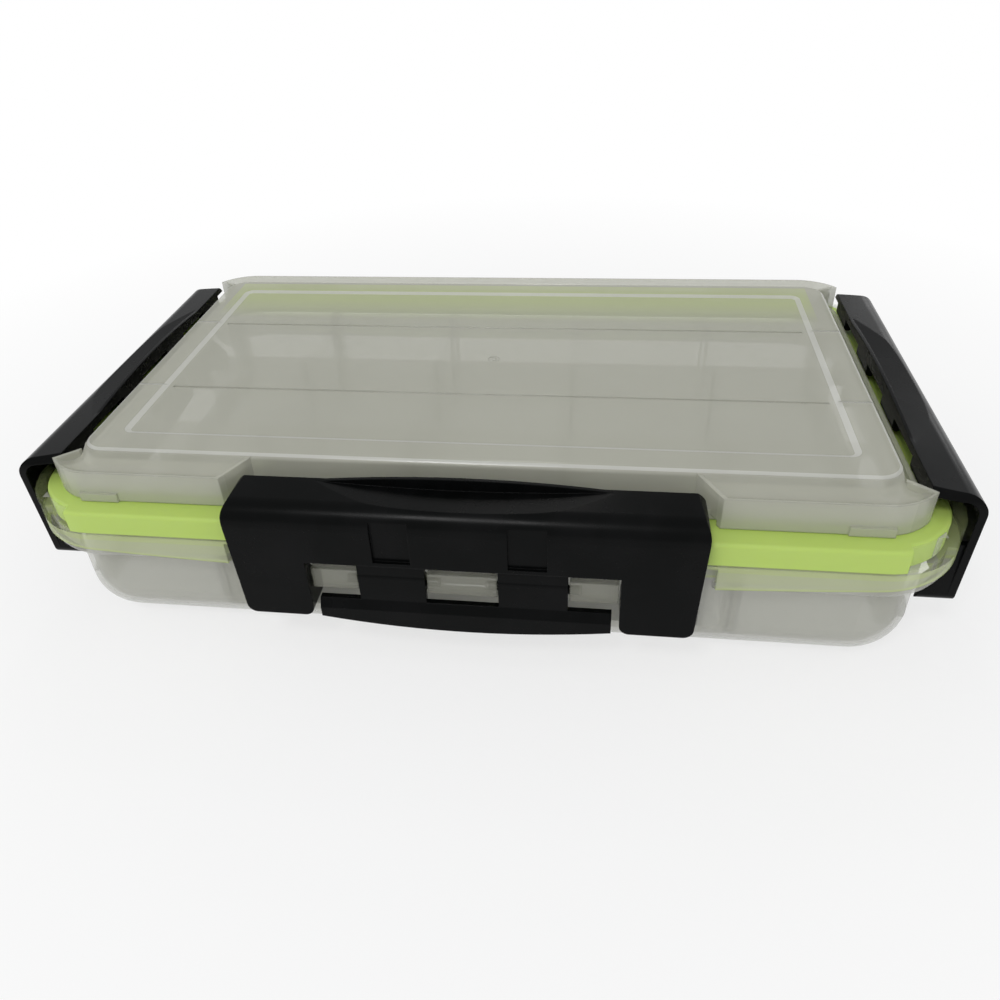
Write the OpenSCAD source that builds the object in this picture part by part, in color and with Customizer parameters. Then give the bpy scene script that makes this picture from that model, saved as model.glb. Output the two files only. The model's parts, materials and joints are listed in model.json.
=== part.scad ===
// Tackle box with a clear tray and lid, a seal ring, three snap latches and removable dividers.
// Millimetres. Origin at the middle of the tray's underside, front at -Y, +Z up.

/* [Tray] */
// Length of the rim
rim_length = 372; // [340:1:430]
// Width of the rim, front to back
rim_width = 222; // [205:1:280]
// Height of the rim's top edge
rim_height = 66; // [62:0.5:80]
// Corner radius of the rim
rim_corner = 33; // [32:0.5:37]
// How much further the rim stands out at its ends than over the latches' pivots
end_bulge = 2.5; // [1.5:0.1:2.6]
// Radius of the rim's top edge
rim_round = 1.6; // [0.6:0.1:2]
// Inset of the tray's wall from the rim
body_inset = 7.7; // [7:0.1:9]
// Thickness of the tray's wall and floor
tray_wall = 2.2; // [1.6:0.1:2.6]
// Radius of the tray's bottom edge
bottom_round = 20; // [12:0.5:21]
// Depth of the rim's lower edge below its top edge
skirt_bottom = 27.4; // [24:0.2:30]
// Radius of the rim's lower edge
skirt_round = 10; // [6:0.5:11]
// Depth of the proud band's lower edge below the rim's top edge, in the middle of the box
band_bottom = 23.7; // [20:0.1:25]
// How much higher that edge is at the ends of the box
band_rise = 8; // [4:0.5:10]
// How far the band stands out
band_proud = 1.2; // [0.6:0.1:1.6]
// Depth of the recesses behind the latches
recess_depth = 12.3; // [11.5:0.1:13]

/* [Inside] */
// Distance of each long partition from the middle
partition_y = 33.5; // [28:0.5:40]
// Thickness of partitions and dividers
partition_wall = 1.6; // [1.2:0.1:2.4]
// Height of the partitions
partition_height = 62; // [50:0.5:63]
// Distance between neighbouring dividers
divider_pitch = 70; // [55:1:76]
// Height of a divider's top edge
divider_height = 60; // [48:0.5:62]
// Depth of the finger dip in a divider's top edge
divider_dip = 5; // [2:0.5:10]
// Width of the ribs that hold a divider
rib_width = 1.2; // [0.8:0.1:2]
// How far those ribs stand out
rib_depth = 1.6; // [1:0.1:2.4]

/* [Seal] */
// Height of the seal ring's outer leg
seal_height = 9.6; // [7:0.2:11]
// Radius of the seal's top edges
seal_round = 1.5; // [0.5:0.1:1.8]
// Half the length of the opening in the rim's front where the seal shows
seal_window = 160; // [150:1:165]
// Thickness of the seal's inner flap
seal_flap = 2; // [1.8:0.1:3]
// Inset of the flap's inner edge from the rim
flap_inset = 16; // [15:0.5:17]

/* [Lid] */
// Height of the closed lid's top above the rim
lid_top = 16; // [14:0.5:30]
// Inset of the raised top from the rim
top_inset = 22.5; // [21.5:0.5:23.5]
// Thickness of the lid's top plate
lid_plate = 2.6; // [2:0.1:3.4]
// Thickness of the lid's walls
lid_wall = 2; // [1.6:0.1:2.4]
// Radius of the raised top's edge
lid_round = 2.5; // [1:0.1:3]
// Inset of the corner ears from the rim
ear_inset = 9; // [8:0.5:9.5]
// Drop of the ears' lip below the lid's top
ear_drop = 2.5; // [2:0.1:4]
// Sag of the dish in an ear
ear_dish = 3; // [2:0.1:3.4]
// Inset of the framed panel from the raised top's edge
panel_inset = 13; // [10:0.5:16]
// Depth of the framed panel
panel_depth = 1; // [0.6:0.1:1.2]
// Width of the panel's bevelled edge
panel_bevel = 3; // [1:0.5:4]
// Width of the two long grooves in the lid
groove_width = 1.2; // [0.8:0.1:2]
// Depth of those grooves
groove_depth = 0.6; // [0.3:0.1:0.8]

/* [Latch] */
// Length of a latch at its shoulder
latch_length = 181; // [170:1:184]
// Radius of the upper corners at its ends
end_round = 8; // [8:0.5:12]
// How much shorter each end is at the foot of the legs
foot_taper = 2; // [0:0.1:3]
// How far a latch stands out from the rim
latch_out = 6; // [5.8:0.1:7.5]
// How far a latch reaches in over the rim
latch_reach = 14; // [13.5:0.1:14.5]
// Thickness of a latch
latch_wall = 3; // [2.4:0.1:3.2]
// Radius of a latch's shoulder
latch_shoulder = 9; // [8:0.5:10]
// Height of a latch's inner lip above the rim
latch_top = 12.2; // [11.5:0.1:13]
// Depth of the ends of a latch's legs below the rim's top edge
leg_bottom = 41.5; // [38:0.5:42.5]
// Depth of the middle of a latch's lower tab below the rim's top edge
tab_bottom = 45.8; // [44:0.1:46]
// Depth of a latch's pivot below the rim's top edge
pivot_height = 25.5; // [24:0.1:26]
// Radius of a latch's trunnions
trunnion_radius = 1.8; // [1.4:0.1:2.2]

/* [Hinge] */
// Distance of each hinge's middle from the rim's end
hinge_x = 59; // [54:1:76]
// Length of a hinge
hinge_length = 36; // [28:1:42]
// Radius of a hinge pin
hinge_pin_radius = 1.5; // [1:0.1:1.8]
// Radius of a hinge knuckle
knuckle_radius = 3.6; // [3:0.1:3.7]

/* [Fits] */
// Radial clearance of a turning pin
pin_clearance = 0.05; // [0.02:0.01:0.1]
// Clearance between fixed neighbours
seat_clearance = 0.2; // [0.1:0.05:0.4]
// Clearance between parts that move past each other
move_clearance = 0.4; // [0.3:0.05:0.6]

/* [Hidden] */
$fn = 96;
half_x = rim_length / 2;
half_y = rim_width / 2;
corner_x = half_x - rim_corner;
corner_y = half_y - rim_corner;
core_x = corner_x - end_bulge;
tiny = 0.01;

// radial distances from the corner centres of the tray, the seal and the lid, which lie inside the rim's
body_r = rim_corner - body_inset;
body_inner_r = body_r - tray_wall;
top_r = rim_corner - top_inset;
edge_r = top_r - max(lid_round, lid_wall);
ear_r = rim_corner - ear_inset;
flange_r = rim_corner - latch_reach - move_clearance;
recess_r = body_r - recess_depth;
rim_wall = 2.6;
channel_r = rim_corner - rim_wall;
seal_inner_r = rim_corner - flap_inset;
seal_outer_r = channel_r - seat_clearance;

// heights above the floor
skirt_z = rim_height - skirt_bottom;
lid_z = rim_height + lid_top;
latch_z = rim_height + latch_top;
leg_z = rim_height - leg_bottom;
tab_z = rim_height - tab_bottom;
pivot_z = rim_height - pivot_height;
shelf_top = rim_height - seal_height;
shelf_bottom = shelf_top - tray_wall;
flap_bottom = rim_height - seal_flap;
channel_wall_top = flap_bottom - seat_clearance;
lid_bottom = rim_height + move_clearance;
flange_wall = 2.2;
flange_top = lid_bottom + flange_wall;
hook_ridge_top = flange_top + flange_wall;
ear_top = lid_z - ear_drop;
recess_z = tab_z - seal_flap;

// latch
latch_half = latch_length / 2;
notch_gap = 4.5;
notch_half = latch_half + notch_gap;
notch_slant = 8.5;
front_bay_gap = 4.5;
front_bay_half = latch_half + front_bay_gap;
recess_gap = 0.8;
recess_half = latch_half + recess_gap;
leg_width = 28;
leg_end = latch_half - foot_taper;
window_half = leg_end - leg_width;
window_rise = 11.5;
window_top = pivot_z + window_rise;
bridge_gap = 0.6;
bridge_length = 26.6;
lug_inner_half = 13.6;
lug_outer_start = lug_inner_half + bridge_length + 2 * bridge_gap;
lug_outer_end = window_half - bridge_gap;
lug_front = 2.6;
lug_radius = 4.4;
lug_rise = 6;
trunnion_length = 4;
bore_depth = trunnion_length + bridge_gap;
bridge_inset = 2;
bridge_wall = 2.4;
tab_gap = 3;
tab_half = window_half - tab_gap;
tab_fall = 7.5;
tab_top = pivot_z - tab_fall;
finger_pitch = 48;
finger_offsets = [for (step = [-1.5 : 1.5]) step * finger_pitch];
finger_length = 20;
finger_depth = 4;
finger_bottom = flange_top + move_clearance;

// hinge
hinge_place = half_x - hinge_x;
hinge_y = half_y + knuckle_radius + move_clearance;
hinge_rise = 0.5;
hinge_z = rim_height + hinge_rise;
lid_knuckle_half = hinge_length / 6;

// dividers
divider_columns = 4;
row_names = ["front", "middle", "rear"];
row_r = recess_r - tray_wall;
inner_y = corner_y + row_r;
row_edges = [
    [-inner_y, -partition_y - partition_wall / 2],
    [-partition_y + partition_wall / 2, partition_y - partition_wall / 2],
    [partition_y + partition_wall / 2, inner_y]
];
function divider_x(column) = (column - (divider_columns - 1) / 2) * divider_pitch;

clear_plastic = [0.85, 0.86, 0.8, 0.55];
black_plastic = [0.08, 0.08, 0.085];
lime_rubber = [0.72, 0.85, 0.4];
steel = [0.7, 0.71, 0.73];

// Carries a profile round a rectangle with round corners: the profile's x is the distance outside the
// corner centres, its y is the height.
module round_sweep(centre_x, centre_y) {
    for (side = [0, 180]) {
        rotate([0, 0, side]) translate([centre_x, 0, 0]) rotate([90, 0, 0])
            linear_extrude(2 * centre_y, center = true) children();
        rotate([0, 0, side + 90]) translate([centre_y, 0, 0]) rotate([90, 0, 0])
            linear_extrude(2 * centre_x, center = true) children();
    }
    for (corner = [[1, 1, 0], [-1, 1, 90], [-1, -1, 180], [1, -1, 270]])
        translate([corner[0] * centre_x, corner[1] * centre_y, 0]) rotate([0, 0, corner[2]])
            rotate_extrude(angle = 90) children();
}

// Rectangle with round corners, given by its corner centres and radius
module round_rectangle(centre_x, centre_y, radius) {
    square([2 * (centre_x + radius), 2 * centre_y], center = true);
    square([2 * centre_x, 2 * (centre_y + radius)], center = true);
    for (sx = [-1, 1], sy = [-1, 1])
        translate([sx * centre_x, sy * centre_y]) circle(radius);
}

// Rectangle from one corner to the opposite one
module span(low, high) {
    translate(low) square(high - low);
}

// Box from one corner to the opposite one
module block(low, high) {
    translate(low) cube(high - low);
}

// Places a latch, modelled with its pivot at y = 0 and its outside towards -Y, on one side of the box
module on_side(side) {
    if (side == "front") translate([0, -half_y, 0]) children();
    if (side == "right") translate([half_x - end_bulge, 0, 0]) rotate([0, 0, 90]) children();
    if (side == "left") translate([end_bulge - half_x, 0, 0]) rotate([0, 0, -90]) children();
}

// Rectangle whose lower outer corner is rounded
module lower_round(inner, outer, low, high, radius) {
    arc = [outer - radius, low + radius];
    intersection() {
        span([inner, low], [outer, high]);
        union() {
            span([inner - radius, arc[1]], [outer, high]);
            span([inner - 2 * radius, low], [arc[0], arc[1] + tiny]);
            translate(arc) circle(radius);
        }
    }
}

// Rectangle whose upper outer corner is rounded
module upper_round(inner, outer, low, high, radius) {
    translate([0, low + high]) mirror([0, 1]) lower_round(inner, outer, low, high, radius);
}

// Section of the tray's wall with its round lower edge
module tray_section() {
    difference() {
        lower_round(body_r - bottom_round - tiny, body_r, 0, channel_wall_top, bottom_round);
        lower_round(body_r - bottom_round - 1, body_inner_r, tray_wall, rim_height,
            bottom_round - tray_wall);
    }
}

// Outline of the box at a distance from the tray's corner centres
module core_outline(radius) {
    round_rectangle(core_x, corner_y, radius);
}

// Space above the seal shelf at the front, where the seal takes the place of the rim's wall
module front_window(gap) {
    block([-seal_window - gap, -half_y - 1, shelf_top], [seal_window + gap, -corner_y, rim_height + 1]);
}

// Shelf and outer wall of the channel that holds the seal
module seal_channel() {
    round_sweep(corner_x, corner_y)
        upper_round(channel_r, rim_corner, shelf_bottom, rim_height, rim_round);
    translate([0, 0, shelf_bottom]) linear_extrude(rim_height - shelf_bottom)
        difference() {
            round_rectangle(corner_x, corner_y, rim_corner - rim_round);
            core_outline(channel_r);
        }
    translate([0, 0, shelf_bottom]) linear_extrude(tray_wall)
        difference() {
            round_rectangle(corner_x, corner_y, rim_corner - rim_wall / 2);
            core_outline(body_r - tray_wall / 2);
        }
}

// Hollow rim below the seal shelf: it curves in to the tray's wall and is open at the latch bays
module skirt() {
    skirt_r = rim_corner - band_proud;
    wall_r = body_r - end_bulge - tray_wall;
    difference() {
        round_sweep(corner_x, corner_y)
            difference() {
                lower_round(wall_r, skirt_r, skirt_z, shelf_bottom + tiny, skirt_round);
                lower_round(wall_r - 1, skirt_r - tray_wall, skirt_z + tray_wall, shelf_bottom + 1,
                    skirt_round - tray_wall);
            }
        linear_extrude(rim_height) core_outline(body_r - tray_wall / 2);
        latch_bays(0, shelf_bottom, front_bay_half);
    }
}

// Proud band round the rim: its lower edge is an arc that rises towards the ends of the box
module band() {
    band_z = rim_height - band_bottom;
    arc_radius = (half_x * half_x + band_rise * band_rise) / (2 * band_rise);
    difference() {
        intersection() {
            round_sweep(corner_x, corner_y)
                span([rim_corner - rim_wall, band_z], [rim_corner, shelf_bottom + tiny]);
            translate([0, 0, band_z + arc_radius]) rotate([90, 0, 0])
                cylinder(h = 2 * rim_width, r = arc_radius, center = true, $fn = 720);
        }
        latch_bays(0, shelf_bottom, front_bay_half);
    }
}

// Spaces that the three latches swing in, from one height up to another, grown by a wall
module latch_bays(low, high, front_half, grow = 0) {
    back = rim_corner - recess_r + grow;
    for (side = ["front", "left", "right"])
        on_side(side) {
            half = (side == "front" ? front_half : recess_half) + grow;
            block([-half, -rim_corner, low - grow], [half, back, high]);
        }
}

// Lugs that carry the trunnions of one latch, hung under the seal shelf
module latch_lugs() {
    lug_spans = [
        [-lug_outer_end, -lug_outer_start],
        [-lug_inner_half, lug_inner_half],
        [lug_outer_start, lug_outer_end]
    ];
    difference() {
        for (lug = lug_spans)
            translate([lug[0], 0, 0]) rotate([90, 0, 90]) linear_extrude(lug[1] - lug[0]) {
                intersection() {
                    translate([0, pivot_z]) circle(lug_radius);
                    span([-lug_front, 0], [lug_radius, pivot_z + tiny]);
                }
                span([-lug_front, pivot_z], [lug_radius, pivot_z + lug_rise]);
                span([tray_wall / 2, pivot_z], [lug_radius, shelf_bottom + tray_wall / 2]);
            }
        for (bore = [-lug_outer_start, -lug_inner_half, lug_inner_half, lug_outer_start])
            translate([bore, 0, pivot_z]) rotate([0, 90, 0])
                cylinder(h = 2 * bore_depth, r = trunnion_radius + pin_clearance, center = true);
    }
}

// Knuckles of the tray, two at each hinge, with the web that ties them to the rim
module tray_knuckles() {
    gap_half = lid_knuckle_half + move_clearance;
    for (sx = [-1, 1], end = [-1, 1]) {
        low = sx * hinge_place + (end > 0 ? gap_half : -hinge_length / 2);
        difference() {
            union() {
                translate([low, hinge_y, hinge_z]) rotate([0, 90, 0])
                    cylinder(h = hinge_length / 2 - gap_half, r = knuckle_radius);
                block([low, half_y - tray_wall / 2, shelf_bottom],
                    [low + hinge_length / 2 - gap_half, half_y + knuckle_radius, hinge_z - hinge_pin_radius]);
            }
            translate([low - 1, hinge_y, hinge_z]) rotate([0, 90, 0])
                cylinder(h = hinge_length / 2, r = hinge_pin_radius);
        }
    }
}

// Pairs of ribs that hold the dividers of one row: at a long wall they reach out to it
module divider_ribs(row) {
    slot_half = partition_wall / 2 + seat_clearance;
    for (column = [0 : divider_columns - 1], side = [-1, 1], end = [0, 1]) {
        low_x = divider_x(column) + (side > 0 ? slot_half : -slot_half - rib_width);
        edge = row_edges[row][end];
        at_wall = row != 1 && end == (row == 0 ? 0 : 1);
        inward = end == 0 ? 1 : -1;
        translate([low_x, 0, 0]) rotate([90, 0, 90]) linear_extrude(rib_width)
            if (at_wall)
                mirror([row == 0 ? 1 : 0, 0]) wall_profile(inner_y - rib_depth, corner_y, divider_height);
            else
                span([min(edge - inward * tiny, edge + inward * rib_depth), tray_wall - tiny],
                    [max(edge - inward * tiny, edge + inward * rib_depth), divider_height]);
    }
}

// Upright sheet from a given distance out to the tray's wall, cut to the wall's round lower edge
module wall_profile(low, centre, high) {
    intersection() {
        span([low, tray_wall - tiny], [centre + body_r, high]);
        lower_round(low - 1, centre + body_r - tray_wall / 2, tray_wall / 2, high + 1,
            bottom_round - tray_wall / 2);
    }
}

module tray() {
    color(clear_plastic) {
        difference() {
            union() {
                round_sweep(core_x, corner_y) tray_section();
                linear_extrude(tray_wall) core_outline(body_r - bottom_round);
                intersection() {
                    linear_extrude(shelf_top - tray_wall / 2) core_outline(body_r - tray_wall / 2);
                    latch_bays(recess_z, shelf_top, recess_half, tray_wall);
                }
                for (sy = [-1, 1], end = [0, 1])
                    translate([0, sy * partition_y + partition_wall / 2, 0]) rotate([90, 0, 0])
                        linear_extrude(partition_wall)
                            mirror([end, 0]) wall_profile(-tiny, core_x, partition_height);
                for (row = [0 : 2])
                    divider_ribs(row);
            }
            latch_bays(recess_z, shelf_bottom, recess_half);
        }
        difference() {
            seal_channel();
            front_window(seat_clearance);
        }
        skirt();
        band();
        for (side = ["front", "left", "right"])
            on_side(side) latch_lugs();
        tray_knuckles();
    }
}

// Section of the raised top's edge, with its wall, flange and hook ridge
module top_section() {
    difference() {
        upper_round(edge_r - tiny, top_r, lid_bottom, lid_z, lid_round);
        span([edge_r - 1, lid_bottom - 1], [top_r - lid_wall, lid_z - lid_plate]);
    }
    span([top_r - lid_wall, lid_bottom], [flange_r, flange_top]);
    span([flange_r - lid_wall, lid_bottom], [flange_r, hook_ridge_top]);
}

// Arc that dishes an ear: it leaves the raised top's edge and ends at a narrow lip
ear_lip = 1;
dish_start = [top_r, lid_z - ear_lip];
dish_end = [ear_r - ear_lip, ear_top];
dish_chord = dish_end - dish_start;
dish_half = norm(dish_chord) / 2;
dish_radius = (dish_half * dish_half + ear_dish * ear_dish) / (2 * ear_dish);
dish_normal = [-dish_chord[1], dish_chord[0]] / norm(dish_chord);
dish_centre = (dish_start + dish_end) / 2 + (dish_radius - ear_dish) * dish_normal;

// Section of a corner ear: outer wall, lip and dished top
module ear_section() {
    middle = (top_r + ear_r) / 2;
    difference() {
        union() {
            span([top_r - lid_wall / 2, lid_bottom], [ear_r, ear_top]);
            span([top_r - lid_wall / 2, ear_top - 1], [middle, lid_z - ear_lip]);
        }
        translate(dish_centre) circle(dish_radius);
        difference() {
            span([top_r - lid_wall, lid_bottom - 1], [ear_r - lid_wall, ear_top]);
            translate(dish_centre) circle(dish_radius + lid_wall);
        }
    }
}

// Section of an ear's end wall, which slopes from the raised top down to the lip
module ear_end_section() {
    inner = top_r - lid_wall / 2;
    polygon([
        [inner, flange_top - tiny],
        [ear_r, flange_top - tiny],
        [ear_r, ear_top],
        [inner, lid_z - lid_round / 2]
    ]);
}

// Space that the three latches take up in the lid
module latch_notches(grow) {
    depth = top_inset + lid_wall / 2;
    slope = notch_slant / (top_inset - ear_inset);
    outer_half = notch_half + slope * ear_inset + grow;
    inner_half = notch_half - slope * (depth - ear_inset) + grow;
    for (side = ["front", "left", "right"])
        on_side(side)
            translate([0, 0, lid_bottom - 1]) linear_extrude(lid_top + 1)
                polygon([
                    [-outer_half, 0],
                    [outer_half, 0],
                    [inner_half, depth],
                    [-inner_half, depth]
                ]);
}

// Panel, grooves and gate mark that are sunk into the lid's top
module top_relief() {
    panel_corner = 5;
    gate_radius = 2.6;
    gate_core = 1;
    gate_depth = 0.4;
    panel_x = core_x + top_r - panel_inset - panel_corner;
    panel_y = corner_y + top_r - panel_inset - panel_corner;
    panel_floor = lid_z - panel_depth;
    translate([0, 0, panel_floor]) linear_extrude(panel_depth + 1)
        round_rectangle(panel_x, panel_y, panel_corner - panel_bevel);
    round_sweep(panel_x, panel_y)
        polygon([
            [panel_corner - panel_bevel - tiny, panel_floor],
            [panel_corner - panel_bevel, panel_floor],
            [panel_corner, lid_z],
            [panel_corner, lid_z + 1],
            [panel_corner - panel_bevel - tiny, lid_z + 1]
        ]);
    for (sy = [-1, 1])
        translate([0, sy * partition_y, 0]) {
            block([-half_x, -groove_width / 2, lid_z - groove_depth],
                [half_x, groove_width / 2, lid_z + 1]);
            block([-panel_x, -groove_width / 2, panel_floor - groove_depth],
                [panel_x, groove_width / 2, lid_z]);
        }
    difference() {
        translate([0, 0, panel_floor - gate_depth]) cylinder(h = panel_depth, r = gate_radius);
        translate([0, 0, panel_floor - 2 * gate_depth]) cylinder(h = 2 * gate_depth, r = gate_core);
    }
}

// Arms and knuckles that hang the lid on its pins
module lid_knuckles() {
    for (sx = [-1, 1])
        translate([sx * hinge_place, 0, 0])
            difference() {
                union() {
                    translate([-lid_knuckle_half, hinge_y, hinge_z]) rotate([0, 90, 0])
                        cylinder(h = 2 * lid_knuckle_half, r = knuckle_radius);
                    block([-lid_knuckle_half, corner_y + ear_r - lid_wall / 2, hinge_z + move_clearance],
                        [lid_knuckle_half, hinge_y, hinge_z + knuckle_radius]);
                }
                translate([0, hinge_y, hinge_z]) rotate([0, 90, 0])
                    cylinder(h = hinge_length, r = hinge_pin_radius + pin_clearance, center = true);
            }
}

module lid() {
    nub_length = 16;
    nub_height = 3.8;
    nub_out = 1;
    nub_x = core_x - 3;
    color(clear_plastic) {
        difference() {
            union() {
                translate([0, 0, lid_z - lid_plate]) linear_extrude(lid_plate)
                    core_outline(edge_r);
                round_sweep(core_x, corner_y) top_section();
            }
            top_relief();
        }
        difference() {
            round_sweep(core_x, corner_y) ear_section();
            latch_notches(0);
        }
        intersection() {
            round_sweep(core_x, corner_y) ear_end_section();
            difference() {
                latch_notches(lid_wall);
                latch_notches(0);
            }
        }
        for (sx = [-1, 1])
            translate([sx * nub_x, -corner_y - ear_r, lid_bottom])
                block([-nub_length / 2, -nub_out, 0], [nub_length / 2, lid_wall / 2, nub_height]);
        lid_knuckles();
    }
}

// Section of the seal ring: a leg in the channel and a flap that reaches in over the tray's wall
module seal_section() {
    seal_middle = (seal_inner_r + seal_outer_r) / 2;
    for (side = [0, 1])
        translate([side * 2 * seal_middle, 0]) mirror([side, 0])
            upper_round(seal_middle - tiny, seal_outer_r, flap_bottom, rim_height, seal_round);
    span([body_r + seat_clearance, shelf_top], [seal_outer_r, flap_bottom + tiny]);
}

module seal() {
    front_depth = 2 * rim_wall;
    color(lime_rubber) {
        round_sweep(core_x, corner_y) seal_section();
        intersection() {
            round_sweep(corner_x, corner_y)
                upper_round(rim_corner - front_depth, rim_corner, shelf_top, rim_height, rim_round);
            front_window(0);
        }
    }
}

// Slope of a latch's top, from the shoulder's arc up to the inner lip
shoulder_drop = 10.4;
shoulder = [-latch_out + latch_shoulder, latch_z - shoulder_drop];
slope_reach = latch_reach - shoulder[0];
slope_rise = latch_z - shoulder[1];
slope_angle = atan2(slope_rise, slope_reach) - asin(latch_shoulder / norm([slope_reach, slope_rise]));

// Profile of a latch's upper part: its outside with no inset, its inside with the wall as the inset
module latch_form(inset) {
    radius = latch_shoulder - inset;
    above = [latch_reach + latch_wall, latch_z + latch_wall];
    span([-latch_out + inset, 0], [shoulder[0] + tiny, shoulder[1]]);
    intersection() {
        translate(shoulder) circle(radius);
        span([-latch_out, shoulder[1] - tiny], above);
    }
    intersection() {
        translate(shoulder) rotate(slope_angle) span([0, -slope_reach], [2 * slope_reach, radius]);
        span([-latch_out, shoulder[1] - tiny], above);
    }
}

// Section of a latch's wall, shoulder and top arm
module latch_section() {
    difference() {
        intersection() {
            latch_form(0);
            span([-latch_out, leg_z], [latch_reach, latch_z + latch_wall]);
        }
        latch_form(latch_wall);
    }
}

// Outline of a latch seen from the front, with its legs, windows and the gap for its tab
module latch_outline() {
    leg_round = 4;
    corner_drop = 7;
    widest_z = latch_z - corner_drop;
    difference() {
        union() {
            polygon([
                [-leg_end, leg_z + leg_round],
                [leg_end, leg_z + leg_round],
                [latch_half, widest_z],
                [-latch_half, widest_z]
            ]);
            span([end_round - latch_half, widest_z - tiny], [latch_half - end_round, latch_z + latch_wall]);
            for (sx = [-1, 1])
                translate([sx * (latch_half - end_round), widest_z]) circle(end_round);
            for (sx = [-1, 1])
                for (end = [leg_end - leg_round, window_half + leg_round])
                    translate([sx * end, leg_z + leg_round]) circle(leg_round);
            for (sx = [-1, 1])
                translate([sx * (leg_end + window_half) / 2, leg_z + leg_round])
                    square([leg_end - window_half - 2 * leg_round, 2 * leg_round], center = true);
        }
        span([-window_half, 0], [window_half, window_top]);
    }
}

// Web at one end of a leg: it closes the leg and reaches in under the rim
module leg_web() {
    foot_reach = 8;
    foot_height = 12;
    foot_slope = 11;
    rim_gap = 2 * move_clearance;
    web_top = shelf_bottom - rim_gap;
    polygon([
        [-latch_out, web_top],
        [-latch_out, leg_z],
        [foot_reach, leg_z],
        [foot_reach, leg_z + foot_height],
        [-rim_gap, leg_z + foot_height + foot_slope],
        [-rim_gap, web_top]
    ]);
}

// Bridges between the windows, with the barrel and the trunnions that turn in the lugs: a bridge has a
// round upper edge and hangs from a web that is set back further
module latch_bridges() {
    barrel_wall = 1.4;
    barrel_radius = trunnion_radius + barrel_wall;
    bridge_face = -latch_out + bridge_inset;
    bridge_rise = 6;
    bridge_arc = [bridge_face + bridge_wall, pivot_z + bridge_rise - bridge_wall];
    web_bite = 0.6;
    web_face = -latch_out + latch_wall - web_bite;
    trunnion_span = bridge_length + 2 * (bridge_gap + trunnion_length - move_clearance);
    for (sx = [-1, 1])
        translate([sx * (lug_inner_half + lug_outer_start) / 2, 0, 0]) {
            rotate([90, 0, 90]) linear_extrude(bridge_length, center = true) {
                translate([0, pivot_z]) circle(barrel_radius);
                span([bridge_face, tab_top - tiny], bridge_arc);
                translate(bridge_arc) circle(bridge_wall);
                span([web_face, pivot_z], [web_face + bridge_wall, window_top + latch_wall / 2]);
                span([bridge_face + tiny, pivot_z - trunnion_radius],
                    [0, pivot_z + trunnion_radius]);
            }
            translate([0, 0, pivot_z]) rotate([0, 90, 0])
                cylinder(h = trunnion_span, r = trunnion_radius, center = true);
        }
}

// Lower tab with its bevelled top and its curved lower edge
module latch_tab() {
    drop = leg_z - tab_z;
    arc_radius = (tab_half * tab_half + drop * drop) / (2 * drop);
    bevel = 4;
    bridge_face = -latch_out + bridge_inset;
    intersection() {
        rotate([90, 0, 90]) linear_extrude(2 * tab_half, center = true)
            polygon([
                [bridge_face + bridge_wall, tab_top],
                [bridge_face, tab_top],
                [-latch_out, tab_top - bevel],
                [-latch_out, tab_z],
                [-latch_out + latch_wall, tab_z],
                [-latch_out + latch_wall, tab_top - latch_wall - bridge_wall],
                [bridge_face + bridge_wall, tab_top - latch_wall]
            ]);
        translate([0, 0, tab_z + arc_radius]) rotate([90, 0, 0])
            cylinder(h = 4 * latch_out, r = arc_radius, center = true, $fn = 360);
    }
}

// Lens-shaped scoop cut into the top, and the raised lip behind it
scoop_half = 60;
scoop_depth = 2.4;
lip_rise = 2.6;
lip_sink = 0.9;
lip_wall = 1.5;

module scoop_cut() {
    cut_radius = (scoop_half * scoop_half + scoop_depth * scoop_depth) / (2 * scoop_depth);
    translate([0, -latch_out, latch_z - scoop_depth + cut_radius]) rotate([-90, 0, 0])
        cylinder(h = latch_out + latch_reach - lip_wall, r = cut_radius, $fn = 720);
}

module scoop_lip() {
    lip_half = scoop_half + lip_wall;
    lip_base = latch_z - lip_sink;
    lip_height = lip_rise + latch_z - lip_base;
    lip_radius = (lip_half * lip_half + lip_height * lip_height) / (2 * lip_height);
    intersection() {
        translate([0, latch_reach, latch_z + lip_rise - lip_radius]) rotate([90, 0, 0])
            cylinder(h = lip_wall, r = lip_radius, $fn = 720);
        block([-lip_half, 0, lip_base - scoop_depth + tiny],
            [lip_half, latch_reach, latch_z + lip_rise]);
    }
}

// Hook fingers that hang from the inner lip
module latch_fingers() {
    finger_round = finger_depth / 2;
    for (offset = finger_offsets)
        translate([offset, 0, 0]) rotate([90, 0, 90]) linear_extrude(finger_length, center = true) {
            span([latch_reach - finger_depth, finger_bottom + finger_round],
                [latch_reach, latch_z - latch_wall]);
            translate([latch_reach - finger_round, finger_bottom + finger_round]) circle(finger_round);
        }
}

// Walls of a latch: arm, shoulder, legs and the webs that close the legs
module latch_walls() {
    web_wall = 2.4;
    intersection() {
        union() {
            rotate([90, 0, 90]) linear_extrude(latch_length, center = true) latch_section();
            for (sx = [-1, 1], low = [window_half, leg_end - web_wall])
                translate([sx * (low + web_wall / 2), 0, 0]) rotate([90, 0, 90])
                    linear_extrude(web_wall, center = true) leg_web();
        }
        translate([0, latch_reach + 1, 0]) rotate([90, 0, 0])
            linear_extrude(latch_reach + latch_out + 2) latch_outline();
    }
}

// Two square pockets in the face of a latch
module latch_pockets() {
    pocket_x = 25.8;
    pocket_half = 7.3;
    pocket_depth = 1.6;
    pocket_bottom = window_top + 1.7;
    pocket_top = latch_z - 6;
    for (sx = [-1, 1])
        translate([sx * pocket_x, -latch_out, 0])
            block([-pocket_half, -1, pocket_bottom], [pocket_half, pocket_depth, pocket_top]);
}

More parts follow.
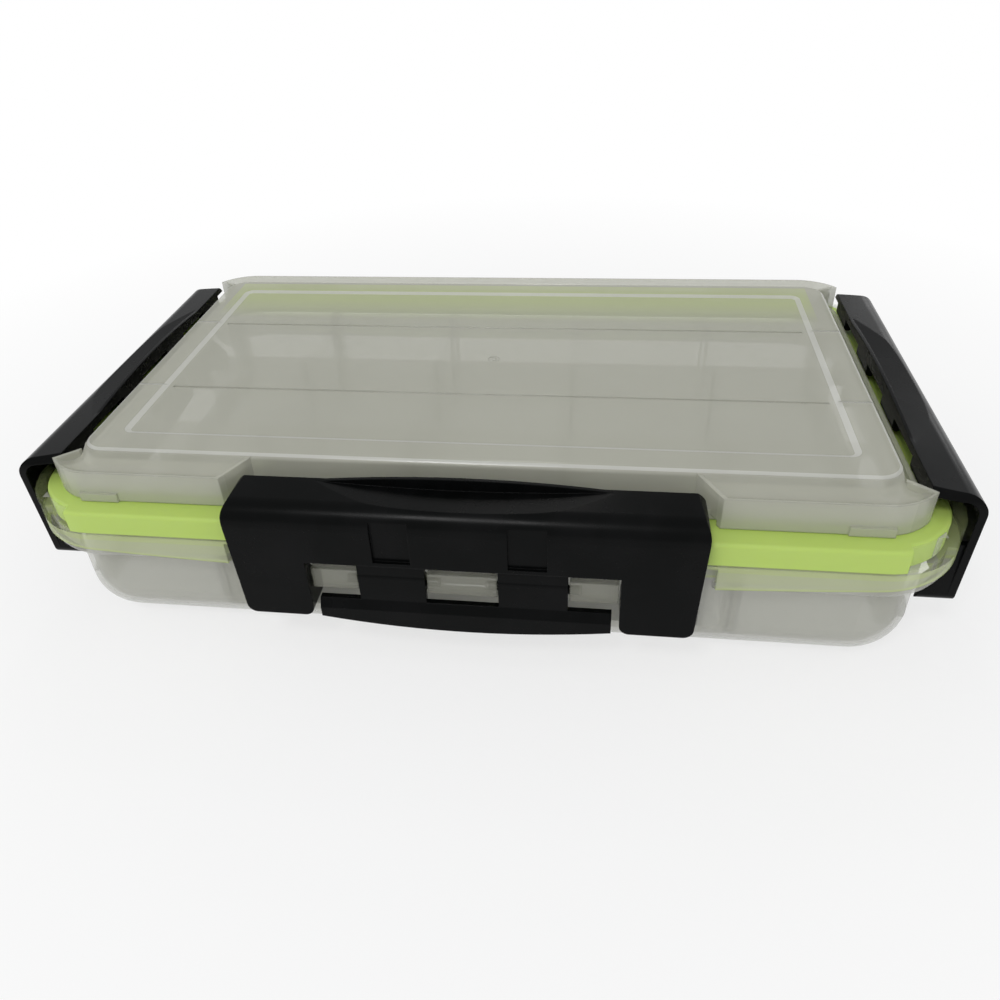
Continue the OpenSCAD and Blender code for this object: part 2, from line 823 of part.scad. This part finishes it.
// One latch, with its pivot at y = 0 and its outside towards -Y
module latch() {
    color(black_plastic) {
        difference() {
            latch_walls();
            scoop_cut();
            latch_pockets();
        }
        scoop_lip();
        latch_fingers();
        latch_bridges();
        latch_tab();
    }
}

module hinge_pin() {
    color(steel) translate([0, hinge_y, hinge_z]) rotate([0, 90, 0])
        cylinder(h = hinge_length, r = hinge_pin_radius, center = true);
}

// One divider, standing in the slot of its row and column
module divider(row, column) {
    low_y = row_edges[row][0] + seat_clearance;
    high_y = row_edges[row][1] - seat_clearance;
    dip_half = (high_y - low_y) / 4;
    dip_radius = (dip_half * dip_half + divider_dip * divider_dip) / (2 * divider_dip);
    color(clear_plastic) translate([divider_x(column), 0, 0]) rotate([90, 0, 90])
        linear_extrude(partition_wall, center = true)
            difference() {
                span([low_y, tray_wall], [high_y, divider_height]);
                translate([(low_y + high_y) / 2, divider_height - divider_dip + dip_radius])
                    circle(dip_radius);
                if (row != 1)
                    mirror([row == 0 ? 1 : 0, 0])
                        difference() {
                            span([corner_y, tray_wall - 1], [corner_y + body_r, bottom_round]);
                            lower_round(corner_y - 1, corner_y + body_inner_r - seat_clearance,
                                tray_wall, bottom_round + 1,
                                bottom_round - tray_wall - seat_clearance);
                        }
            }
}

tray();
lid();
seal();
on_side("front") latch();  // latch_front
on_side("left") latch();  // latch_left
on_side("right") latch();  // latch_right
translate([-hinge_place, 0, 0]) hinge_pin();  // hinge_pin_left
translate([hinge_place, 0, 0]) hinge_pin();  // hinge_pin_right
for (row = [0 : 2], column = [0 : divider_columns - 1])
    divider(row, column);
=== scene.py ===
"""Looks of the clear tackle box: camera, stage, light, moulded plastics, seal and steel.

Metres, in the part's own frame: origin under the middle of the tray, front latch at -Y, +Z up.
"""

import json
import math

import bpy
from mathutils import Matrix, Vector

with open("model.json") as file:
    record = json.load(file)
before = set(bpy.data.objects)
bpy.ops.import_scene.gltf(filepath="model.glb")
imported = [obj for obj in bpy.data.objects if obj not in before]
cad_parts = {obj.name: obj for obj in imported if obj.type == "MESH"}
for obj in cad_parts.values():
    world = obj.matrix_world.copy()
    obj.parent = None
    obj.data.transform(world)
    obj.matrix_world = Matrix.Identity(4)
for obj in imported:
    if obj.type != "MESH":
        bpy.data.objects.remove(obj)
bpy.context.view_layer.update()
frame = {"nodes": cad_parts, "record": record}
scene = bpy.context.scene
scene.view_settings.view_transform = "Standard"
MM = 0.001

# Camera
IMAGE_SIZE = 1000
CAMERA_PLACE = Vector((50.2, -355.7, 262.8)) * MM
CAMERA_YAW = math.radians(-9.62)
CAMERA_PITCH = math.radians(36.08)
CAMERA_ROLL = math.radians(3.25)
FOCAL_PIXELS = 855.1
CENTRE_PIXEL = (480.4, 498.7)
SENSOR_WIDTH = 36.0
CLIP_START = 0.01

# Stage
FLOOR_HALF = 12.0
FLOOR_GAP = 0.3 * MM
FLOOR_COLOUR = (0.92, 0.92, 0.92, 1)
SHADOW_REACH = 0.22
SHADOW_FADE = 0.3
FLOOR_WHITE = 0.7


def aim(yaw, pitch, roll):
    """Rotation of a camera that looks along +Y, turned to the right, tipped down and rolled."""
    forward = Vector((math.sin(yaw) * math.cos(pitch), math.cos(yaw) * math.cos(pitch), -math.sin(pitch)))
    level = Vector((math.cos(yaw), -math.sin(yaw), 0))
    down = forward.cross(level)
    right = math.cos(roll) * level + math.sin(roll) * down
    up = right.cross(forward)
    return Matrix((right, up, -forward)).transposed()


def make_camera():
    data = bpy.data.cameras.new("camera")
    data.sensor_width = SENSOR_WIDTH
    data.lens = SENSOR_WIDTH * FOCAL_PIXELS / IMAGE_SIZE
    data.shift_x = (IMAGE_SIZE / 2 - CENTRE_PIXEL[0]) / IMAGE_SIZE
    data.shift_y = (CENTRE_PIXEL[1] - IMAGE_SIZE / 2) / IMAGE_SIZE
    data.clip_start = CLIP_START
    camera = bpy.data.objects.new("camera", data)
    camera.matrix_world = Matrix.Translation(CAMERA_PLACE) @ aim(CAMERA_YAW, CAMERA_PITCH, CAMERA_ROLL).to_4x4()
    scene.collection.objects.link(camera)
    scene.camera = camera


class Nodes:
    """A material's or world's node tree, with short calls to add and join nodes."""

    def __init__(self, tree):
        self.tree = tree
        tree.nodes.clear()

    def add(self, kind, **settings):
        node = self.tree.nodes.new(kind)
        for name, value in settings.items():
            setattr(node, name, value)
        return node

    def join(self, source, target):
        self.tree.links.new(source, target)

    def math(self, operation, first, second=None):
        node = self.add("ShaderNodeMath", operation=operation)
        for socket, value in zip(node.inputs, (first, second)):
            if value is None:
                continue
            if isinstance(value, (int, float)):
                socket.default_value = value
            else:
                self.join(value, socket)
        return node.outputs[0]

    def noise(self, vector, scale, detail=3.0, roughness=0.5):
        node = self.add("ShaderNodeTexNoise")
        node.inputs["Scale"].default_value = scale
        node.inputs["Detail"].default_value = detail
        node.inputs["Roughness"].default_value = roughness
        self.join(vector, node.inputs["Vector"])
        return node.outputs["Fac"]

    def stretch(self, vector, factors):
        node = self.add("ShaderNodeMapping")
        node.inputs["Scale"].default_value = factors
        self.join(vector, node.inputs["Vector"])
        return node.outputs["Vector"]

    def spread(self, value, low, high, new_low, new_high):
        node = self.add("ShaderNodeMapRange")
        for name, number in zip(("From Min", "From Max", "To Min", "To Max"), (low, high, new_low, new_high)):
            node.inputs[name].default_value = number
        self.join(value, node.inputs["Value"])
        return node.outputs["Result"]

    def blend(self, factor, first, second):
        node = self.add("ShaderNodeMix", data_type="RGBA")
        for socket, value in ((node.inputs["Factor"], factor), (node.inputs["A"], first), (node.inputs["B"], second)):
            if isinstance(value, (tuple, float)):
                socket.default_value = value
            else:
                self.join(value, socket)
        return node.outputs["Result"]

    def round_edges(self, radius):
        node = self.add("ShaderNodeBevel", samples=4)
        node.inputs["Radius"].default_value = radius
        return node.outputs["Normal"]

    def bump(self, height, strength, distance, normal=None):
        node = self.add("ShaderNodeBump")
        node.inputs["Strength"].default_value = strength
        node.inputs["Distance"].default_value = distance
        self.join(height, node.inputs["Height"])
        if normal is not None:
            self.join(normal, node.inputs["Normal"])
        return node.outputs["Normal"]


def seen_directly(nodes):
    """1 for rays from the camera, from a mirror or through clear plastic, else 0."""
    path = nodes.add("ShaderNodeLightPath")
    glossy = nodes.math("MAXIMUM", path.outputs["Is Camera Ray"], path.outputs["Is Glossy Ray"])
    return nodes.math("MAXIMUM", glossy, path.outputs["Is Transmission Ray"])


def make_floor():
    """Pale floor: it takes the object's shadow near by, and is plain white further out."""
    mesh = bpy.data.meshes.new("floor")
    corners = [(sx * FLOOR_HALF, sy * FLOOR_HALF, -FLOOR_GAP) for sx, sy in ((-1, -1), (1, -1), (1, 1), (-1, 1))]
    mesh.from_pydata(corners, [], [(0, 1, 2, 3)])
    floor = bpy.data.objects.new("floor", mesh)
    scene.collection.objects.link(floor)
    material = bpy.data.materials.new("floor")
    material.use_nodes = True
    nodes = Nodes(material.node_tree)
    place = nodes.add("ShaderNodeTexCoord").outputs["Object"]
    length = nodes.add("ShaderNodeVectorMath", operation="LENGTH")
    nodes.join(place, length.inputs[0])
    far = nodes.spread(length.outputs["Value"], SHADOW_REACH, SHADOW_REACH + SHADOW_FADE, FLOOR_WHITE, 1.0)
    matte = nodes.add("ShaderNodeBsdfDiffuse")
    matte.inputs["Color"].default_value = FLOOR_COLOUR
    white = nodes.add("ShaderNodeEmission")
    mix = nodes.add("ShaderNodeMixShader")
    nodes.join(nodes.math("MULTIPLY", far, seen_directly(nodes)), mix.inputs["Fac"])
    nodes.join(matte.outputs[0], mix.inputs[1])
    nodes.join(white.outputs[0], mix.inputs[2])
    output = nodes.add("ShaderNodeOutputMaterial")
    nodes.join(mix.outputs[0], output.inputs["Surface"])
    mesh.materials.append(material)


# Light
WORLD_STRENGTH = 0.62
WORLD_COLOUR = (0.98, 0.99, 1.0, 1)
LIGHT_TARGET = (0, 0, 0.05)
REAR_LAMP_COLOUR = (1.0, 0.97, 0.92)


def make_world():
    """Even light from all sides."""
    world = bpy.data.worlds.new("studio")
    world.use_nodes = True
    nodes = Nodes(world.node_tree)
    light = nodes.add("ShaderNodeBackground")
    light.inputs["Color"].default_value = WORLD_COLOUR
    light.inputs["Strength"].default_value = WORLD_STRENGTH
    output = nodes.add("ShaderNodeOutputWorld")
    nodes.join(light.outputs[0], output.inputs["Surface"])
    scene.world = world


def make_lamp(name, place, size, power, colour=(1, 1, 1)):
    data = bpy.data.lights.new(name, "AREA")
    data.shape = "RECTANGLE"
    data.size, data.size_y = size
    data.energy = power
    data.color = colour
    lamp = bpy.data.objects.new(name, data)
    lamp.location = place
    lamp.rotation_euler = (Vector(LIGHT_TARGET) - Vector(place)).to_track_quat("-Z", "Y").to_euler()
    scene.collection.objects.link(lamp)


def make_lights():
    """Soft light from the front, and weaker lamps at the left, the rear and the right for the edges' gloss."""
    make_lamp("front_softbox", place=(-0.25, -0.95, 1.27), size=(0.32, 0.26), power=5.0)
    make_lamp("left_window", place=(-1.3, 0.1, 0.7), size=(0.8, 0.8), power=0.7)
    make_lamp("rear_lamp", place=(-0.1, 1.05, 1.25), size=(0.16, 0.2), power=0.9, colour=REAR_LAMP_COLOUR)
    make_lamp("right_window", place=(0.85, 1.2, 0.36), size=(0.5, 0.2), power=0.6)


# Materials
NOISE_MIDDLE = (0.3, 0.7)
FLOW_STRETCH = (9, 16, 9)
CLEAR_ROUGHNESS = (0.16, 0.26)
BLACK_ROUGHNESS = (0.22, 0.3)
LIME_ROUGHNESS = (0.42, 0.55)
STEEL_ROUGHNESS = (0.22, 0.4)
STEEL_STRETCH = (40, 3000, 3000)
RUB_RANGE = (0.45, 0.8)
LID_COLOURS = ((0.6, 0.6, 0.5, 1), (0.66, 0.66, 0.56, 1))
TRAY_COLOURS = ((0.6, 0.6, 0.52, 1), (0.66, 0.66, 0.58, 1))
# Paler than the lid and the tray: painted light, standing in for the light that reaches the dividers inside the box.
DIVIDER_PAINTED_LIGHT_COLOURS = ((0.82, 0.82, 0.74, 1), (0.86, 0.86, 0.78, 1))
LID_COVER = 0.5
LID_EAR_COVER = 0.55
LID_INSIDE = (171.5 * MM, 99.5 * MM)
# Strength and reach of the painted seal glow along the rear of the lid's panel.
REAR_TINT = 0.42
REAR_TINT_FROM = 42 * MM
REAR_TINT_FULL = 66 * MM
REAR_TINT_END = 84 * MM
REAR_TINT_HALF = 152 * MM
TRAY_COVER = 0.46
RIM_COVER = 0.1
RIM_CLEAR = (55.5 * MM, 67 * MM)
# Painted shade on the tray's lugs and the rim's lower edge behind the latches.
LUG_PAINTED_SHADE = (0.28, 0.28, 0.22, 1)
LUG_TOP = 50 * MM
LUG_REACH = (181 * MM, 106 * MM)
LATCH_HALF = (92 * MM, 62 * MM)
# Painted highlight on the bevel round the lid's panel.
BEVEL_PAINTED_HIGHLIGHT = (0.9, 0.9, 0.84, 1)
BEVEL_SPAN = (81.1 * MM, 81.9 * MM)
DIVIDER_COVER = 0.1
CLEAR_GLOSS = 1.0
CLEAR_EDGE = 0.9 * MM
DIVIDER_GLOSS = 0.2
RIM_INSIDE = (174 * MM, 101 * MM)
# Where the painted seal glow lies on the tray's rim: the proud band, the line along its lower edge and the wall
# beside the seal.
BAND_LOW = 42.3 * MM
BAND_RISE = 8 * MM
BAND_HALF = 186 * MM
BAND_TOP = 60 * MM
BAND_LINE = 1.2 * MM
BAND_TINT = 0.35
LINE_TINT = 0.45
WALL_TOP_LOW = 53 * MM
WALL_TOP_TINT = 0.6
# Lime painted into the clear plastic near the seal: a painted glow for the seal's light carried in the milky plastic.
LIME_PAINTED_GLOW = (0.74, 0.9, 0.22, 1)
LIME_COLOUR = (0.56, 0.74, 0.17, 1)
LIME_SHADE = (0.52, 0.7, 0.15, 1)
LIME_DEPTH = (0.004, 0.005, 0.001)
LIME_SOFTNESS = 0.25
BLACK_COLOUR = (0.002, 0.0024, 0.0023, 1)
BLACK_WORN = (0.005, 0.005, 0.0053, 1)
BLACK_EDGE = 0.6 * MM
BLACK_GLOSS = 0.08
STEEL_COLOUR = (0.55, 0.55, 0.56, 1)


def new_material(name):
    material = bpy.data.materials.new(name)
    material.use_nodes = True
    nodes = Nodes(material.node_tree)
    shader = nodes.add("ShaderNodeBsdfPrincipled")
    output = nodes.add("ShaderNodeOutputMaterial")
    nodes.join(shader.outputs[0], output.inputs["Surface"])
    place = nodes.add("ShaderNodeTexCoord").outputs["Object"]
    return material, nodes, shader, place


def beyond(nodes, axes, half_x, half_y):
    """How far a point lies outside an upright rectangle round the origin; less than 0 inside it."""
    out_x = nodes.math("SUBTRACT", nodes.math("ABSOLUTE", axes["X"]), half_x)
    out_y = nodes.math("SUBTRACT", nodes.math("ABSOLUTE", axes["Y"]), half_y)
    return nodes.math("MAXIMUM", out_x, out_y)


def tray_painted_glow(nodes, axes):
    """How much painted glow of the seal's lime the rim gets, standing in for the seal's light carried into the clear
    plastic:
    a little in the proud band, more along the band's lower edge and in the wall beside the seal, none where the lugs
    carry painted shade."""
    outside = nodes.math("GREATER_THAN", beyond(nodes, axes, *RIM_INSIDE), 0.0)
    along = nodes.math("POWER", nodes.math("ABSOLUTE", nodes.math("DIVIDE", axes["X"], BAND_HALF)), 2.0)
    edge = nodes.math("ADD", nodes.math("MULTIPLY", along, BAND_RISE), BAND_LOW)
    height = nodes.math("SUBTRACT", axes["Z"], edge)
    band = nodes.math("MULTIPLY", nodes.spread(height, -BAND_LINE, 0.0, 0.0, BAND_TINT),
                      nodes.math("LESS_THAN", axes["Z"], BAND_TOP))
    line = nodes.spread(nodes.math("ABSOLUTE", height), 0.0, BAND_LINE, LINE_TINT, 0.0)
    wall = nodes.math("MULTIPLY", nodes.math("GREATER_THAN", axes["Z"], WALL_TOP_LOW), WALL_TOP_TINT)
    tint = nodes.math("MULTIPLY", outside, nodes.math("MAXIMUM", nodes.math("ADD", band, line), wall))
    return nodes.math("MULTIPLY", tint, nodes.math("SUBTRACT", 1.0, tray_lug_shade(nodes, axes)))


def tray_lug_shade(nodes, axes):
    """1 behind the latches, on the lugs and the rim's lower edge beside them, where painted shade darkens the
    plastic, else 0.
    """
    front = nodes.math("MULTIPLY", nodes.math("LESS_THAN", nodes.math("ABSOLUTE", axes["X"]), LATCH_HALF[0]),
                       nodes.math("LESS_THAN", axes["Y"], -LUG_REACH[1]))
    side = nodes.math("MULTIPLY", nodes.math("LESS_THAN", nodes.math("ABSOLUTE", axes["Y"]), LATCH_HALF[1]),
                      nodes.math("GREATER_THAN", nodes.math("ABSOLUTE", axes["X"]), LUG_REACH[0]))
    return nodes.math("MULTIPLY", nodes.math("MAXIMUM", front, side), nodes.math("LESS_THAN", axes["Z"], LUG_TOP))


def lid_bevel_highlight(nodes, axes):
    """1 on the bevel round the lid's panel, where a painted highlight makes it paler, else 0."""
    above = nodes.math("GREATER_THAN", axes["Z"], BEVEL_SPAN[0])
    return nodes.math("MULTIPLY", above, nodes.math("LESS_THAN", axes["Z"], BEVEL_SPAN[1]))


def lid_inside(nodes, axes):
    """1 on the lid's raised top and its walls, 0 on the ears round them."""
    return nodes.math("LESS_THAN", beyond(nodes, axes, *LID_INSIDE), 0.0)


def lid_painted_glow(nodes, axes):
    """How much painted glow of the seal's lime the lid gets, standing in for the seal's light scattered through the
    milky plastic: a soft band along the rear edge of its panel.
    """
    rear = nodes.spread(axes["Y"], REAR_TINT_FROM, REAR_TINT_FULL, 0.0, REAR_TINT)
    panel = nodes.math("LESS_THAN", beyond(nodes, axes, REAR_TINT_HALF, REAR_TINT_END), 0.0)
    return nodes.math("MULTIPLY", panel, rear)


def tray_cover(nodes, axes):
    """Cover of the tray: the rim's wall outside the seal is clearer than the rest."""
    outside = nodes.math("GREATER_THAN", beyond(nodes, axes, *RIM_INSIDE), 0.0)
    above = nodes.math("GREATER_THAN", axes["Z"], RIM_CLEAR[0])
    below = nodes.math("LESS_THAN", axes["Z"], RIM_CLEAR[1])
    clear = nodes.math("MULTIPLY", outside, nodes.math("MULTIPLY", above, below))
    return nodes.spread(clear, 0.0, 1.0, TRAY_COVER, RIM_COVER)


def lid_cover(nodes, axes):
    """Cover of the lid: its ears are a little cloudier than its raised top."""
    return nodes.spread(lid_inside(nodes, axes), 0.0, 1.0, LID_EAR_COVER, LID_COVER)


def clear_plastic(name, colours, cover, gloss, glow=None, painted_patch=None, painted_patch_colour=None):
    """Milky clear plastic: cloudy flow marks, a painted glow of the seal's lime near it, one area of painted light in
    another colour (painted shade on the tray's lugs, a painted highlight on the lid's panel bevel) and a soft gloss."""
    material, nodes, shader, place = new_material(name)
    colour = nodes.blend(nodes.noise(nodes.stretch(place, FLOW_STRETCH), 1.0, 4), *colours)
    split = nodes.add("ShaderNodeSeparateXYZ")
    nodes.join(place, split.inputs[0])
    axes = split.outputs
    if glow:
        # Painted light: the seal's glow, then painted shade on the tray's lugs and a painted highlight on the lid's
        # bevel.
        colour = nodes.blend(glow(nodes, axes), colour, LIME_PAINTED_GLOW)
        colour = nodes.blend(painted_patch(nodes, axes), colour, painted_patch_colour)
    nodes.join(colour, shader.inputs["Base Color"])
    nodes.join(nodes.spread(nodes.noise(place, 60), *NOISE_MIDDLE, *CLEAR_ROUGHNESS), shader.inputs["Roughness"])
    if callable(cover):
        nodes.join(cover(nodes, axes), shader.inputs["Alpha"])
    else:
        shader.inputs["Alpha"].default_value = cover
    shader.inputs["Specular IOR Level"].default_value = gloss
    nodes.join(nodes.bump(nodes.noise(place, 220, 2), strength=0.05, distance=0.4 * MM,
                          normal=nodes.round_edges(CLEAR_EDGE)),
               shader.inputs["Normal"])
    return material


def black_plastic():
    """Satin black moulding: fine spark texture and slightly paler rubbed patches."""
    material, nodes, shader, place = new_material("black_plastic")
    rub = nodes.noise(place, 45, 4)
    nodes.join(nodes.blend(nodes.spread(rub, *RUB_RANGE, 0.0, 1.0), BLACK_COLOUR, BLACK_WORN),
               shader.inputs["Base Color"])
    nodes.join(nodes.spread(rub, *NOISE_MIDDLE, *BLACK_ROUGHNESS), shader.inputs["Roughness"])
    shader.inputs["Specular IOR Level"].default_value = BLACK_GLOSS
    nodes.join(nodes.bump(nodes.noise(place, 1500, 2), strength=0.06, distance=0.2 * MM,
                          normal=nodes.round_edges(BLACK_EDGE)),
               shader.inputs["Normal"])
    return material


def lime_rubber():
    """Soft lime seal: slight mottling and a dull sheen."""
    material, nodes, shader, place = new_material("lime_rubber")
    nodes.join(nodes.blend(nodes.noise(place, 40, 3), LIME_COLOUR, LIME_SHADE), shader.inputs["Base Color"])
    nodes.join(nodes.spread(nodes.noise(place, 120), *NOISE_MIDDLE, *LIME_ROUGHNESS), shader.inputs["Roughness"])
    shader.inputs["Subsurface Weight"].default_value = LIME_SOFTNESS
    shader.inputs["Subsurface Radius"].default_value = LIME_DEPTH
    nodes.join(nodes.bump(nodes.noise(place, 700, 2), strength=0.08, distance=0.2 * MM), shader.inputs["Normal"])
    return material


def steel():
    """Drawn steel pin: fine lines along its length."""
    material, nodes, shader, place = new_material("steel")
    shader.inputs["Base Color"].default_value = STEEL_COLOUR
    shader.inputs["Metallic"].default_value = 1.0
    lines = nodes.noise(nodes.stretch(place, STEEL_STRETCH), 1.0, 2)
    nodes.join(nodes.spread(lines, *NOISE_MIDDLE, *STEEL_ROUGHNESS), shader.inputs["Roughness"])
    nodes.join(nodes.bump(lines, strength=0.1, distance=0.1 * MM), shader.inputs["Normal"])
    return material


def dress_nodes():
    """Gives every node of the frame the material of its slot."""
    finishes = {make.__name__: make() for make in (black_plastic, lime_rubber, steel)}
    divider = clear_plastic("clear_divider", DIVIDER_PAINTED_LIGHT_COLOURS, DIVIDER_COVER, DIVIDER_GLOSS)
    clear = {
        "lid": clear_plastic("clear_lid", LID_COLOURS, lid_cover, CLEAR_GLOSS, lid_painted_glow,
                             lid_bevel_highlight, BEVEL_PAINTED_HIGHLIGHT),
        "tray": clear_plastic("clear_tray", TRAY_COLOURS, tray_cover, CLEAR_GLOSS, tray_painted_glow,
                              tray_lug_shade, LUG_PAINTED_SHADE),
    }
    for entry in frame["record"]["subparts"]:
        node = frame["nodes"][entry["node"]]
        finish = finishes.get(entry["material_slot"]) or clear.get(entry["node"], divider)
        node.data.materials.clear()
        node.data.materials.append(finish)


make_camera()
make_floor()
make_world()
make_lights()
dress_nodes()
